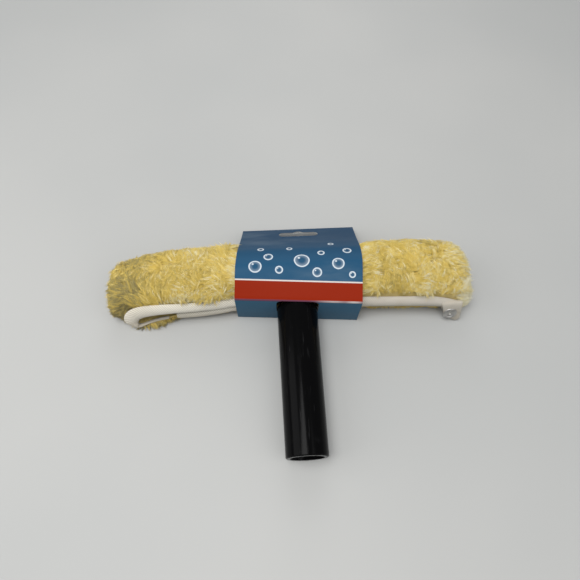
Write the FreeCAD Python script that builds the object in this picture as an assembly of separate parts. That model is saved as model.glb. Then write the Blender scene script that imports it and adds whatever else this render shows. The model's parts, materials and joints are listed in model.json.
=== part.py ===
import FreeCAD, Part
import os
from math import cos, hypot, pi, radians, sin
from FreeCAD import Vector

# Window scrubber: a T-bar with a fleece sleeve buttoned over its crossbar and a retail card round it.
# Lengths are millimetres. The origin is the centre of the pole socket's mouth, +Y runs along the
# handle into the crossbar, +X along the crossbar, +Z up. The tool lies flat on a table.

overrun = 2.0  # how far a cutting solid passes the face it cuts

# Handle
handle_mouth_radius = 13.84
handle_top_radius = 14.66
handle_body_length = 101.5
shoulder_length = 6.5
shoulder_end_radius = 9.0
socket_radius = 11.0
socket_depth = 85.0
mouth_edge_rounding = 0.7
tongue_width = 22.0
tongue_clearance = 0.1
floor_z = -handle_top_radius

# Crossbar
bar_length = 236.0
bar_depth = 26.0
bar_height = 10.0
bar_wall = 1.2
bar_corner_radius = 3.0
neck_length = 7.0
plug_flange = 2.0
plug_insertion = 12.0
plug_clearance = 0.1
rivet_shank_radius = 2.0
rivet_head_radius = 3.6
rivet_head_crown_radius = 2.6
rivet_head_height = 1.3
rivet_spacing = 11.0

# Fleece sleeve, measured over the pile
sleeve_left_overhang = 20.0
sleeve_right_overhang = 14.0
sleeve_front_wall = 10.5
sleeve_depth = 51.0
sleeve_height = 38.6
sleeve_toe = 9.5
sleeve_pinch_depth = 7.5
sleeve_press = 2.4
sleeve_end_play = 4.0
cavity_clearance = 0.6
neck_clearance = 0.6

# Tape sewn along both lips of the slit
tape_width = 6.5
tape_thickness = 4.5
tape_stand_out = 1.25
upper_lip_z = 4.0
lower_lip_z = -5.0
lip_end_margin = 6.0
loop_bend_margin = 47.0
loop_bend_radius = 60.0
loop_bend_degrees = 22.0
loop_straight_length = 5.4
loop_turn_radius = 4.6
loop_return_degrees = 5.0

# Closing tab and press stud at the right end of the slit
tab_margin = 10.7
tab_width = 15.0
tab_length = 16.0
tab_thickness = 1.6
tab_corner_radius = 5.0
tab_hem_radius = 1.1
tab_gap = 0.35
tab_hinge_z = 3.0
tab_tilt_degrees = 20.0
stud_tab_top = 3.0
stud_drop = 9.6
snap_cap_radius = 5.0
snap_cap_height = 1.2
snap_cap_rounding = 0.7
snap_shank_radius = 1.5
snap_socket_radius = 4.0
snap_socket_height = 1.8
snap_socket_bore_radius = 2.5
snap_socket_floor = 0.3
snap_gap = 0.3
stud_radius = 1.8
stud_engagement = 1.2
stud_flange_radius = 4.0
stud_flange_height = 0.8
post_flange_radius = 3.6
post_flange_height = 1.0
closure_margin = 2.0

# Hanging card folded round the sleeve
card_thickness = 0.5
card_left_x = -44.9
card_right_x = 45.4
card_left_press = 2.25
card_right_gap = 4.75
card_press_clearance = 1.1
card_fold_rise = 0.94
card_slack = 1.5
card_floor_gap = 0.3
card_floor_back_margin = 1.0
card_skew_share = 0.068
flap_root_run = 6.0
flap_root_height = 20.0
flap_length = 17.5
flap_fall = 12.7
card_handle_clearance = 0.4
card_hole_corner_radius = 4.5
slot_length = 31.0
slot_width = 6.5
slot_bump_radius = 4.4
slot_bump_offset = 0.85
slot_setback = 10.0

# Outline of the sleeve across the bar as (depth, height, press) shares: the curved part from the lower
# front over the top to the lower back, then the corners of the flat underside back to the front. The
# press is how far the card flattens the pile there.
sleeve_outline_shares = [
    (0.005, 0.16, 0.0), (0.012, 0.36, 0.0), (0.018, 0.55, 0.0), (0.07, 0.70, 0.0), (0.18, 0.87, 0.0),
    (0.36, 0.98, 0.0), (0.52, 1.00, 0.1), (0.70, 0.955, 0.9), (0.86, 0.80, 1.0), (0.97, 0.55, 0.3),
    (1.00, 0.32, 0.0), (0.96, 0.10, 0.0),
]
sleeve_underside_shares = [(0.86, 0.00, 0.0), (0.16, 0.00, 0.0), (0.055, 0.035, 0.0)]
# Stations along the sleeve: place from left to right, then depth, height, card and toe shares. The card
# lifts and presses the sleeve, and the toe is the lower lip pushed forward at the left end.
sleeve_station_shares = [
    (0.000, 0.52, 0.50, 0.0, 0.0), (0.011, 0.70, 0.66, 0.0, 0.3), (0.033, 0.81, 0.77, 0.0, 0.8),
    (0.077, 0.89, 0.87, 0.0, 1.0), (0.150, 0.96, 0.95, 0.0, 0.9), (0.205, 0.99, 0.99, 0.0, 0.3),
    (0.240, 1.00, 1.00, 0.0, 0.0), (0.306, 1.00, 1.00, 0.0, 0.0), (0.327, 1.00, 1.00, 1.0, 0.0),
    (0.714, 1.00, 1.00, 1.0, 0.0), (0.735, 1.00, 1.00, 0.0, 0.0), (0.775, 1.00, 1.00, 0.0, 0.0),
    (0.840, 1.00, 1.00, 0.0, 0.0), (0.890, 0.97, 0.96, 0.0, 0.0), (0.941, 0.91, 0.90, 0.0, 0.0),
    (0.974, 0.82, 0.82, 0.0, 0.0), (0.992, 0.67, 0.67, 0.0, 0.0), (1.000, 0.50, 0.50, 0.0, 0.0),
]
toe_front_share = 0.20
toe_height_share = 0.36
# The part of the outline that the card lies over
crown_shares = sleeve_outline_shares[5:9]

# Sizes that follow from the ones above
shoulder_end_y = handle_body_length + shoulder_length
bar_front_y = shoulder_end_y + neck_length
bar_centre_y = bar_front_y + bar_depth / 2
bar_inner_depth = bar_depth - 2 * bar_wall
bar_inner_height = bar_height - 2 * bar_wall
tongue_thickness = bar_inner_height - 2 * tongue_clearance
tongue_end_y = bar_centre_y + bar_depth / 2 - bar_corner_radius
sleeve_left_x = -bar_length / 2 - sleeve_left_overhang
sleeve_right_x = bar_length / 2 + sleeve_right_overhang
sleeve_length = sleeve_right_x - sleeve_left_x
sleeve_front_y = bar_front_y - sleeve_front_wall
sleeve_pinch_y = sleeve_front_y + sleeve_pinch_depth
sleeve_lift_on_card = card_thickness + card_floor_gap
cavity_half_length = bar_length / 2 + plug_flange + sleeve_end_play + cavity_clearance
cavity_front_y = bar_front_y - cavity_clearance
cavity_half_height = bar_height / 2 + rivet_head_height + cavity_clearance
tape_front_y = sleeve_front_y - tape_stand_out
tape_centre_y = tape_front_y + tape_thickness / 2
lip_end_x = sleeve_right_x - lip_end_margin
loop_bend_start_x = sleeve_left_x + loop_bend_margin
tab_left_x = sleeve_right_x - tab_margin - tab_width
lower_lip_end_x = tab_left_x - closure_margin
tab_hinge_y = tape_front_y - tab_gap - tab_hem_radius
tab_back = tab_thickness / 2
socket_back = tab_back + snap_socket_height
stud_flange_front = socket_back + snap_gap
stud_tab_front = stud_flange_front + stud_flange_height
stud_tab_back = stud_tab_front + tab_thickness
snap_centre_x = tab_left_x + tab_width / 2
card_left_panel_y = tape_front_y + card_left_press
card_right_panel_y = tape_front_y - card_right_gap
card_front_y = card_right_panel_y
card_fold_z = handle_top_radius + card_fold_rise
flap_root_y = sleeve_front_y + sleeve_depth + flap_root_run
slot_centre_y = flap_root_y + flap_length - slot_setback
slot_centre_x = (card_left_x + card_right_x) / 2 + card_skew_share * (slot_centre_y - card_front_y)

along_x = Vector(1, 0, 0)
along_y = Vector(0, 1, 0)
along_z = Vector(0, 0, 1)


def box(low, high):
    size = high.sub(low)
    return Part.makeBox(size.x, size.y, size.z, low)


def lathe(points):
    # Turn a closed outline of (radius, y) points about the handle's axis.
    corners = [Vector(radius, y, 0) for radius, y in points]
    outline = Part.makePolygon(corners + corners[:1])
    return Part.Face(outline).revolve(Vector(), along_y, 360)


def curve_through(points):
    curve = Part.BSplineCurve()
    curve.interpolate(points)
    return curve.toShape()


def rounded_bar(start_x, length, depth, height, corner_radius):
    # A prism along X with a rounded rectangular section, centred on the crossbar.
    low = Vector(start_x, bar_centre_y - depth / 2, -height / 2)
    prism = Part.makeBox(length, depth, height, low)
    long_edges = [edge for edge in prism.Edges
                  if edge.tangentAt(edge.FirstParameter).isParallel(along_x, 0.001)]
    return prism.makeFillet(corner_radius, long_edges)


def disc(radius, front, back):
    # A round of the press stud in the tab's own frame, where the tab hangs straight down.
    return Part.makeCylinder(radius, back - front, Vector(snap_centre_x, front, -stud_drop), along_y)


def place_on_tab(shape):
    # Tilt a shape about the hinge line and move it from the tab's own frame to the tool's.
    placed = shape.copy()
    placed.rotate(Vector(), along_x, -tab_tilt_degrees)
    placed.translate(Vector(0, tab_hinge_y, tab_hinge_z))
    return placed


def hanging_plate(top, bottom, front, back):
    # A flat tape with its two lower corners rounded, in the tab's own frame.
    low = Vector(tab_left_x, front, -bottom)
    plate = Part.makeBox(tab_width, back - front, bottom - top, low)
    lower_corners = [edge for edge in plate.Edges
                     if edge.tangentAt(edge.FirstParameter).isParallel(along_y, 0.001)
                     and edge.CenterOfMass.z < -(top + bottom) / 2]
    return plate.makeFillet(tab_corner_radius, lower_corners)


# Handle with its pole socket and the flat tongue that enters the crossbar
shoulder_steps = 8
handle_outline = [(0, 0), (handle_mouth_radius - mouth_edge_rounding, 0),
                  (handle_mouth_radius, mouth_edge_rounding)]
for step in range(shoulder_steps + 1):
    turn = step / shoulder_steps * pi / 2
    handle_outline.append((shoulder_end_radius + (handle_top_radius - shoulder_end_radius) * cos(turn),
                           handle_body_length + shoulder_length * sin(turn)))
handle_outline.append((0, shoulder_end_y))
handle_body = lathe(handle_outline)
socket_outline = [(0, -overrun), (socket_radius, -overrun), (socket_radius, socket_depth), (0, socket_depth)]
tongue = box(Vector(-tongue_width / 2, handle_body_length, -tongue_thickness / 2),
             Vector(tongue_width / 2, tongue_end_y, tongue_thickness / 2))
rivet_places = [Vector(side * rivet_spacing / 2, bar_centre_y, 0) for side in (-1, 1)]
rivet_reach = bar_height / 2
rivet_shanks = [Part.makeCylinder(rivet_shank_radius, bar_height, place - along_z * rivet_reach, along_z)
                for place in rivet_places]
handle = handle_body.fuse(tongue).cut(lathe(socket_outline)).cut(rivet_shanks).removeSplitter()

# Crossbar tube, its end plugs and the two rivets
bar_tube = rounded_bar(-bar_length / 2, bar_length, bar_depth, bar_height, bar_corner_radius)
bar_bore = rounded_bar(-bar_length / 2 - overrun, bar_length + 2 * overrun, bar_inner_depth, bar_inner_height,
                       bar_corner_radius - bar_wall)
tongue_slot = box(Vector(-tongue_width / 2 - tongue_clearance, bar_front_y - overrun, -bar_inner_height / 2),
                  Vector(tongue_width / 2 + tongue_clearance, bar_front_y + bar_corner_radius,
                         bar_inner_height / 2))
crossbar = bar_tube.cut(bar_bore).cut(tongue_slot).cut(rivet_shanks)
plugs = {}
for name, side in (("left", -1), ("right", 1)):
    flange_start = bar_length / 2 if side > 0 else -bar_length / 2 - plug_flange
    stem_start = bar_length / 2 - plug_insertion if side > 0 else -bar_length / 2
    flange = rounded_bar(flange_start, plug_flange, bar_depth, bar_height, bar_corner_radius)
    stem = rounded_bar(stem_start, plug_insertion, bar_inner_depth - 2 * plug_clearance,
                       bar_inner_height - 2 * plug_clearance, bar_corner_radius - bar_wall)
    plugs[name] = flange.fuse(stem).removeSplitter()
rivets = []
for place, shank in zip(rivet_places, rivet_shanks):
    upper_head = Part.makeCone(rivet_head_radius, rivet_head_crown_radius, rivet_head_height,
                               place + along_z * rivet_reach, along_z)
    lower_head = Part.makeCone(rivet_head_radius, rivet_head_crown_radius, rivet_head_height,
                               place - along_z * rivet_reach, along_z * -1)
    rivets.append(shank.fuse([upper_head, lower_head]))

# Path of the tape round the slit: along the upper lip, down and round at the left end, back below
bend = radians(loop_bend_degrees)
climb = radians(loop_return_degrees)
upper_start = Vector(lip_end_x, tape_centre_y, upper_lip_z)
bend_start = Vector(loop_bend_start_x, tape_centre_y, upper_lip_z)


def on_bend(turn):
    return bend_start + Vector(-loop_bend_radius * sin(turn), 0, -loop_bend_radius * (1 - cos(turn)))


bend_end = on_bend(bend)
turn_start = bend_end + Vector(-cos(bend), 0, -sin(bend)) * loop_straight_length
turn_centre = turn_start + Vector(sin(bend), 0, -cos(bend)) * loop_turn_radius


def on_turn(heading):
    # The point of the end turn where the tape heads at this angle, seen from the front.
    return turn_centre + Vector(sin(heading), 0, -cos(heading)) * loop_turn_radius


turn_end = on_turn(climb)
turn_middle = on_turn((pi + bend + 2 * pi + climb) / 2)
climb_end_x = turn_end.x + (lower_lip_z - turn_end.z) * cos(climb) / sin(climb)
climb_end = Vector(climb_end_x, tape_centre_y, lower_lip_z)
lower_end = Vector(lower_lip_end_x, tape_centre_y, lower_lip_z)
tape_edges = [
    Part.makeLine(upper_start, bend_start),
    Part.Arc(bend_start, on_bend(bend / 2), bend_end).toShape(),
    Part.makeLine(bend_end, turn_start),
    Part.Arc(turn_start, turn_middle, turn_end).toShape(),
    Part.makeLine(turn_end, climb_end),
    Part.makeLine(climb_end, lower_end),
]
tape_path = Part.Wire(tape_edges)
tape_section = Part.makePlane(tape_thickness, tape_width,
                              Vector(lip_end_x, tape_front_y, upper_lip_z - tape_width / 2), along_x, along_y)
tape_outline = Part.Wire(Part.__sortEdges__(tape_section.Edges))
tape_run = Part.BRepOffsetAPI.MakePipeShell(tape_path)
tape_run.add(tape_outline)
tape_run.setTransitionMode(1)
tape_run.build()
tape_run.makeSolid()
tape_loop = tape_run.shape()

# Space round the handle's shoulder and tongue, wide enough for the sleeve's end play
shoulder_room_radius = handle_top_radius + neck_clearance
shoulder_room_back_y = shoulder_end_y + neck_clearance
shoulder_room_start_y = card_front_y - overrun
shoulder_room_length = shoulder_room_back_y - shoulder_room_start_y
neck_room = box(Vector(-sleeve_end_play, shoulder_room_start_y, -shoulder_room_radius),
                Vector(sleeve_end_play, shoulder_room_back_y, shoulder_room_radius))
for side in (-1, 1):
    room_end = Vector(side * sleeve_end_play, shoulder_room_start_y, 0)
    round_end = Part.makeCylinder(shoulder_room_radius, shoulder_room_length, room_end, along_y)
    neck_room = neck_room.fuse(round_end)
tongue_room_half = tongue_width / 2 + sleeve_end_play + neck_clearance
tongue_room = box(Vector(-tongue_room_half, shoulder_room_start_y, -tongue_thickness / 2 - neck_clearance),
                  Vector(tongue_room_half, cavity_front_y + overrun, tongue_thickness / 2 + neck_clearance))
neck_room = neck_room.fuse(tongue_room)

# Space that the card's front panel presses out of the tape and the pile, with the same end play
press_depth = card_thickness + card_press_clearance
press_left_x = card_left_x - sleeve_end_play - card_press_clearance
press_right_x = card_right_x + sleeve_end_play + card_press_clearance
press_corners = [Vector(press_left_x, shoulder_room_start_y, floor_z),
                 Vector(press_right_x, shoulder_room_start_y, floor_z),
                 Vector(press_right_x, card_right_panel_y + press_depth, floor_z),
                 Vector(press_left_x, card_left_panel_y + press_depth, floor_z)]
press_face = Part.Face(Part.makePolygon(press_corners + press_corners[:1]))
press_room = press_face.extrude(along_z * (card_fold_z - floor_z))
slit_binding = tape_loop.cut(neck_room).cut(press_room)

# Closing tab with the cap and socket, and the stud with its post on the tab behind
closure_plate = hanging_plate(0, tab_length, -tab_back, tab_back)
closure_hem = Part.makeCylinder(tab_hem_radius, tab_width, Vector(tab_left_x, 0, 0), along_x)
cap_shank = disc(snap_shank_radius, -tab_back, tab_back)
closure_tab = closure_plate.fuse(closure_hem).cut(cap_shank)
cap_crown = disc(snap_cap_radius, -tab_back - snap_cap_height, -tab_back)
crown_edge = min(cap_crown.Edges, key=lambda edge: edge.CenterOfMass.y)
snap_cap = cap_crown.makeFillet(snap_cap_rounding, [crown_edge]).fuse(cap_shank)
socket_bore = disc(snap_socket_bore_radius, tab_back + snap_socket_floor, socket_back + overrun)
snap_socket = disc(snap_socket_radius, tab_back, socket_back).cut(socket_bore)
stud_pin = disc(stud_radius, socket_back - stud_engagement, stud_flange_front)
snap_stud = stud_pin.fuse(disc(stud_flange_radius, stud_flange_front, stud_tab_front))
stud_tab = hanging_plate(stud_tab_top, tab_length, stud_tab_front, stud_tab_back)
post_shank = disc(snap_shank_radius, stud_tab_front, stud_tab_back)
stud_tab = stud_tab.cut(post_shank)
snap_post = post_shank.fuse(disc(post_flange_radius, stud_tab_back, stud_tab_back + post_flange_height))
closure_room = Part.makeBox(tab_width + 2 * closure_margin, stud_tab_back + bar_depth, tab_length + bar_depth,
                            Vector(tab_left_x - closure_margin, -bar_depth,
                                   -tab_length - bar_depth - stud_tab_top))
closure_tab = place_on_tab(closure_tab)
snap_cap = place_on_tab(snap_cap)
snap_socket = place_on_tab(snap_socket)
snap_stud = place_on_tab(snap_stud)
stud_tab = place_on_tab(stud_tab)
snap_post = place_on_tab(snap_post)
closure_room = place_on_tab(closure_room)

# Fleece sleeve: a skin of sections, less the room for the bar, the neck, the slit and the closure
sleeve_wires = []
for place_share, depth_share, height_share, card_share, toe_share in sleeve_station_shares:
    station_x = sleeve_left_x + sleeve_length * place_share
    lift = sleeve_lift_on_card * card_share
    outline = []
    for across, up, press in sleeve_outline_shares + sleeve_underside_shares:
        full_y = sleeve_front_y + sleeve_depth * across
        section_y = sleeve_pinch_y + (full_y - sleeve_pinch_y) * depth_share
        if across < toe_front_share and up < toe_height_share:
            section_y -= sleeve_toe * toe_share * (1 - up / toe_height_share)
        section_z = floor_z + lift + (sleeve_height * height_share - lift) * up
        section_z -= sleeve_press * press * card_share
        outline.append(Vector(station_x, section_y, section_z))
    curved = outline[:len(sleeve_outline_shares)]
    corners = outline[len(sleeve_outline_shares) - 1:] + outline[:1]
    underside = [Part.makeLine(start, end) for start, end in zip(corners, corners[1:])]
    sleeve_wires.append(Part.Wire([curve_through(curved)] + underside))
sleeve_body = Part.makeLoft(sleeve_wires, True, True)
cavity = box(Vector(-cavity_half_length, cavity_front_y, -cavity_half_height),
             Vector(cavity_half_length, bar_centre_y + bar_depth / 2 + cavity_clearance, cavity_half_height))
slit_right_x = sleeve_right_x + overrun
slit_upper_end = Vector(slit_right_x, tape_centre_y, upper_lip_z)
slit_lower_end = Vector(slit_right_x, tape_centre_y, lower_lip_z)
slit_edges = [Part.makeLine(slit_upper_end, upper_start)] + tape_edges
slit_edges += [Part.makeLine(lower_end, slit_lower_end), Part.makeLine(slit_lower_end, slit_upper_end)]
slit_face = Part.Face(Part.Wire(slit_edges))
slit_face.translate(along_y * (shoulder_room_start_y - tape_centre_y))
slit_room = slit_face.extrude(along_y * (cavity_front_y + overrun - shoulder_room_start_y))
fleece_cover = sleeve_body.cut(cavity).cut(slit_room).cut(tape_loop).cut(neck_room)
fleece_cover = fleece_cover.cut(press_room).cut(closure_room).cut(snap_post)


# Hanging card: an outer skin less an inner one, then the handle's hole and the hanging slot
def card_place(side_x, y, z):
    return Vector(side_x + card_skew_share * (y - card_front_y), y, z)


def inset(points, distance):
    # Move a row of points to its right-hand side as seen from the left end of the bar.
    moved = []
    for index, point in enumerate(points):
        before = points[max(index - 1, 0)]
        after = points[min(index + 1, len(points) - 1)]
        run = hypot(after.y - before.y, after.z - before.z)
        step_y = distance * (after.z - before.z) / run
        moved.append(Vector(point.x + card_skew_share * step_y, point.y + step_y,
                            point.z - distance * (after.y - before.y) / run))
    return moved


def card_wires(side_x, panel_y):
    # The closed outer and inner outlines of the folded card at one edge. Its top lies over the sleeve.
    fold = card_place(side_x, panel_y, card_fold_z)
    foot = card_place(side_x, panel_y, floor_z)
    floor_back = card_place(side_x, sleeve_front_y + sleeve_depth + card_floor_back_margin, floor_z)
    flap_root = card_place(side_x, flap_root_y, floor_z + flap_root_height)
    flap_end = card_place(side_x, flap_root_y + flap_length, floor_z + flap_root_height - flap_fall)
    over_sleeve = [card_place(side_x, sleeve_front_y + sleeve_depth * across,
                              floor_z + sleeve_height * up - sleeve_press * press)
                   for across, up, press in crown_shares]
    top = [fold] + inset(over_sleeve, -card_slack) + [flap_root]
    flap_drop = along_z * -(2 * card_thickness)
    rise = along_z * card_thickness
    outer_corners = [flap_root, flap_end, flap_end + flap_drop, flap_root + flap_drop, floor_back, foot, fold]
    outer = [curve_through(top)]
    outer += [Part.makeLine(start, end) for start, end in zip(outer_corners, outer_corners[1:])]
    inward = Vector(card_skew_share * card_thickness, card_thickness, 0)
    inner_top = [fold + inward] + inset(top, card_thickness)[1:-1] + [flap_root - rise]
    inner_corners = [inner_top[-1], floor_back + rise, foot + inward + rise, inner_top[0]]
    inner = [curve_through(inner_top)]
    inner += [Part.makeLine(start, end) for start, end in zip(inner_corners, inner_corners[1:])]
    return Part.Wire(outer), Part.Wire(inner)


left_outer, left_inner = card_wires(card_left_x, card_left_panel_y)
right_outer, right_inner = card_wires(card_right_x, card_right_panel_y)
card_skin = Part.makeLoft([left_outer, right_outer], True, True)
card_room = Part.makeLoft([left_inner, right_inner], True, True)
handle_hole_radius = handle_top_radius + card_handle_clearance
handle_hole_outline = [(0, shoulder_room_start_y), (handle_hole_radius, shoulder_room_start_y),
                       (handle_hole_radius, shoulder_room_back_y), (0, shoulder_room_back_y)]
hole_top = box(Vector(-handle_hole_radius, shoulder_room_start_y, 0),
               Vector(handle_hole_radius, shoulder_room_back_y, handle_hole_radius))
hole_top_corners = [edge for edge in hole_top.Edges
                    if edge.tangentAt(edge.FirstParameter).isParallel(along_y, 0.001)
                    and edge.CenterOfMass.z > handle_hole_radius / 2]
hole_top = hole_top.makeFillet(card_hole_corner_radius, hole_top_corners)
slot_reach = sleeve_height
slot_half_run = (slot_length - slot_width) / 2
slot_cut = box(Vector(slot_centre_x - slot_half_run, slot_centre_y - slot_width / 2, floor_z - overrun),
               Vector(slot_centre_x + slot_half_run, slot_centre_y + slot_width / 2, floor_z + slot_reach))
slot_rounds = [(-slot_half_run, 0, slot_width / 2), (slot_half_run, 0, slot_width / 2),
               (0, slot_bump_offset, slot_bump_radius)]
for offset_x, offset_y, radius in slot_rounds:
    round_base = Vector(slot_centre_x + offset_x, slot_centre_y + offset_y, floor_z - overrun)
    slot_cut = slot_cut.fuse(Part.makeCylinder(radius, slot_reach + overrun, round_base, along_z))
hang_card = card_skin.cut(card_room).cut([lathe(handle_hole_outline), hole_top, slot_cut])

os.makedirs("parts", exist_ok=True)
nodes = {
    "handle": handle,
    "crossbar": crossbar,
    "end_plug_left": plugs["left"],
    "end_plug_right": plugs["right"],
    "tongue_rivets": Part.makeCompound(rivets),
    "fleece_cover": fleece_cover,
    "slit_binding": slit_binding,
    "closure_tab": closure_tab,
    "snap_cap": snap_cap,
    "snap_socket": snap_socket,
    "stud_tab": stud_tab,
    "snap_stud": snap_stud,
    "snap_post": snap_post,
    "hang_card": hang_card,
}
for node_name, shape in nodes.items():
    shape.exportStep(os.path.join("parts", node_name + ".step"))
    print(node_name, shape.isValid(), len(shape.Solids), round(shape.Volume), shape.BoundBox)
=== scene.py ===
import json
import math
import bmesh
import bpy
import numpy as np
from mathutils import Matrix, Vector

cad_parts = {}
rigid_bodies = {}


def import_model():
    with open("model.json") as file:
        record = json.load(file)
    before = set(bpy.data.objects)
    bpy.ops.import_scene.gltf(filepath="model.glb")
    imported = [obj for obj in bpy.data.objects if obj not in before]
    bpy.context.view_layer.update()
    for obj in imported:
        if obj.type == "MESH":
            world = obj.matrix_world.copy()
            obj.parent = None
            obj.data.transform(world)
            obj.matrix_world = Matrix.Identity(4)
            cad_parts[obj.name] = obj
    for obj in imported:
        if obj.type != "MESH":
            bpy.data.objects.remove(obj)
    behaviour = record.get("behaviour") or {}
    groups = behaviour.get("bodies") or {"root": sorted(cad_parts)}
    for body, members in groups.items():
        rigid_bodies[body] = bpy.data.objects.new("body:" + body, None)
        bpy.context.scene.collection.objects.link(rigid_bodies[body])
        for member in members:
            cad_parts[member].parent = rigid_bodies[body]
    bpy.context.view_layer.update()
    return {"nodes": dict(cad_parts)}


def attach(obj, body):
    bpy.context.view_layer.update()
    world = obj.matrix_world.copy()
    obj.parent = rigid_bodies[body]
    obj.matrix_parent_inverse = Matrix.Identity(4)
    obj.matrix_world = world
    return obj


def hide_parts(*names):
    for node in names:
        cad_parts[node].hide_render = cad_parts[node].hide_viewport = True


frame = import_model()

floorZ = -0.01466  # the table the tool lies on
scene = bpy.context.scene
print("frame loaded")


class Wire:  # a node's output that takes part in sums
    def __init__(self, net, socket):
        self.net = net
        self.socket = socket

    def calc(self, operation, first, second=0.0):
        return self.net.add("ShaderNodeMath", {"operation": operation}, {0: first, 1: second})

    def __add__(self, other):
        return self.calc("ADD", self, other)

    def __radd__(self, other):
        return self.calc("ADD", other, self)

    def __sub__(self, other):
        return self.calc("SUBTRACT", self, other)

    def __rsub__(self, other):
        return self.calc("SUBTRACT", other, self)

    def __mul__(self, other):
        return self.calc("MULTIPLY", self, other)

    def __rmul__(self, other):
        return self.calc("MULTIPLY", other, self)

    def __pow__(self, other):
        return self.calc("POWER", self, other)

    def __abs__(self):
        return self.calc("ABSOLUTE", self)

    def sine(self):
        return self.calc("SINE", self)

    def most(self, other):
        return self.calc("MAXIMUM", self, other)

    def least(self, other):
        return self.calc("MINIMUM", self, other)

    def step(self, low, high, start=0.0, end=1.0):  # eased from start to end between low and high
        return self.net.add("ShaderNodeMapRange", {"interpolation_type": "SMOOTHSTEP"},
                            {0: self, 1: low, 2: high, 3: start, 4: end})

    def fade(self, low, high):  # the same from one down to nothing
        return self.step(low, high, 1.0, 0.0)

    def out(self, name):  # another output of the same node
        return Wire(self.net, self.socket.node.outputs[name])


class Net:  # a node tree that is filled one node at a time
    def __init__(self, tree):
        self.tree = tree

    def add(self, kind, settings=None, inputs=None, out=0):
        node = self.tree.nodes.new(kind)
        for key, value in (settings or {}).items():
            if key == "stops":
                self.setStops(node.color_ramp, value)
            else:
                setattr(node, key, value)
        for key, value in (inputs or {}).items():
            self.plug(node.inputs[key], value)
        return Wire(self, node.outputs[out]) if len(node.outputs) else node

    def plug(self, socket, value):
        if isinstance(value, Wire):
            self.tree.links.new(value.socket, socket)
        else:
            socket.default_value = value

    def setStops(self, ramp, stops):
        while len(ramp.elements) < len(stops):
            ramp.elements.new(0.5)
        for element, (place, colour) in zip(ramp.elements, stops):
            element.position = place
            element.color = (*colour, 1.0)

    def mix(self, share, first, second, way="MIX"):  # colours
        colours = [value if isinstance(value, Wire) else (*value, 1.0) for value in (first, second)]
        return self.add("ShaderNodeMix", {"data_type": "RGBA", "blend_type": way},
                        {0: share, 6: colours[0], 7: colours[1]}, out=2)

    def noise(self, spot, scale, detail, roughness=0.5):
        return self.add("ShaderNodeTexNoise", None,
                        {"Vector": spot, "Scale": scale, "Detail": detail, "Roughness": roughness})

    def stretch(self, spot, scale, turn=(0.0, 0.0, 0.0)):
        return self.add("ShaderNodeMapping", None, {"Vector": spot, "Scale": scale, "Rotation": turn})

    def split(self, vector):
        return self.add("ShaderNodeSeparateXYZ", None, {0: vector})


class Finish(Net):  # a material with one surface shader
    def __init__(self, name):
        self.material = bpy.data.materials.new(name)
        self.material.use_nodes = True
        Net.__init__(self, self.material.node_tree)
        self.shader = self.tree.nodes["Principled BSDF"]

    def spot(self):
        return self.add("ShaderNodeTexCoord", out="Object")

    def chart(self, name):  # a piece's own map as two values
        place = self.split(self.add("ShaderNodeUVMap", {"uv_map": name}))
        return place, place.out("Y")

    def surface(self, sockets):
        for name, value in sockets.items():
            self.plug(self.shader.inputs[name], value)
        return self

    def bump(self, height, distance, strength):
        return self.add("ShaderNodeBump", None,
                        {"Strength": strength, "Distance": distance, "Height": height})


def addObject(name, data):
    item = bpy.data.objects.new(name, data)
    scene.collection.objects.link(item)
    return item


def meshFrom(name, bm):
    mesh = bpy.data.meshes.new(name)
    bm.to_mesh(mesh)
    bm.free()
    return mesh


def steadyOrder(bm):  # extruding leaves edges and faces in an order that varies from run to run
    bm.verts.index_update()
    for parts in (bm.edges, bm.faces):
        parts.sort(key=lambda part: sum(vert.index ** 2 for vert in part.verts))


def faceOut(bm):  # the highest face tells which way is out
    bmesh.ops.recalc_face_normals(bm, faces=bm.faces)
    if max(bm.faces, key=lambda face: face.calc_center_median().z).normal.z < 0:
        bmesh.ops.reverse_faces(bm, faces=bm.faces)


def newPiece(name, bm, body, finishes, nodes, sharpAngle=None):
    steadyOrder(bm)
    mesh = meshFrom(name, bm)
    mesh.shade_smooth()
    if sharpAngle:
        mesh.set_sharp_from_angle(angle=sharpAngle)
    piece = addObject(name, mesh)
    for finish in finishes:
        mesh.materials.append(finish.material)
    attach(piece, body)
    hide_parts(*nodes)
    return piece


def addWall(piece, thickness, offset):
    wall = piece.modifiers.new("wall", "SOLIDIFY")
    wall.thickness = thickness
    wall.offset = offset
    return wall


def applyModifiers(piece):
    graph = bpy.context.evaluated_depsgraph_get()
    shape = bpy.data.meshes.new_from_object(piece.evaluated_get(graph))
    piece.modifiers.clear()
    piece.data = shape
    return piece


def curveThrough(points, steps):  # a smooth row of points through a few given ones
    row = [Vector(point) for point in points]
    padded = [2 * row[0] - row[1]] + row + [2 * row[-1] - row[-2]]
    smooth = []
    for before, start, end, after in zip(padded, padded[1:], padded[2:], padded[3:]):
        for count in range(steps):
            t = count / steps
            between = start * (2 * t ** 3 - 3 * t ** 2 + 1) + end * (3 * t ** 2 - 2 * t ** 3)
            leaving = (end - before) / 2 * (t ** 3 - 2 * t ** 2 + t)
            arriving = (after - start) / 2 * (t ** 3 - t ** 2)
            smooth.append(between + leaving + arriving)
    return smooth + [row[-1]]


def valueAt(rows, place):  # the values at a place, straight between the given rows
    if place <= rows[0][0]:
        return rows[0][1:]
    for low, high in zip(rows, rows[1:]):
        if place <= high[0]:
            t = (place - low[0]) / (high[0] - low[0])
            return [a + (b - a) * t for a, b in zip(low[1:], high[1:])]
    return rows[-1][1:]


def drawChart(bm, chart, across, down):
    layer = bm.loops.layers.uv.get(chart) or bm.loops.layers.uv.new(chart)
    for face in bm.faces:
        for loop in face.loops:
            loop[layer].uv = (loop.vert[across], loop.vert[down])


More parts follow.
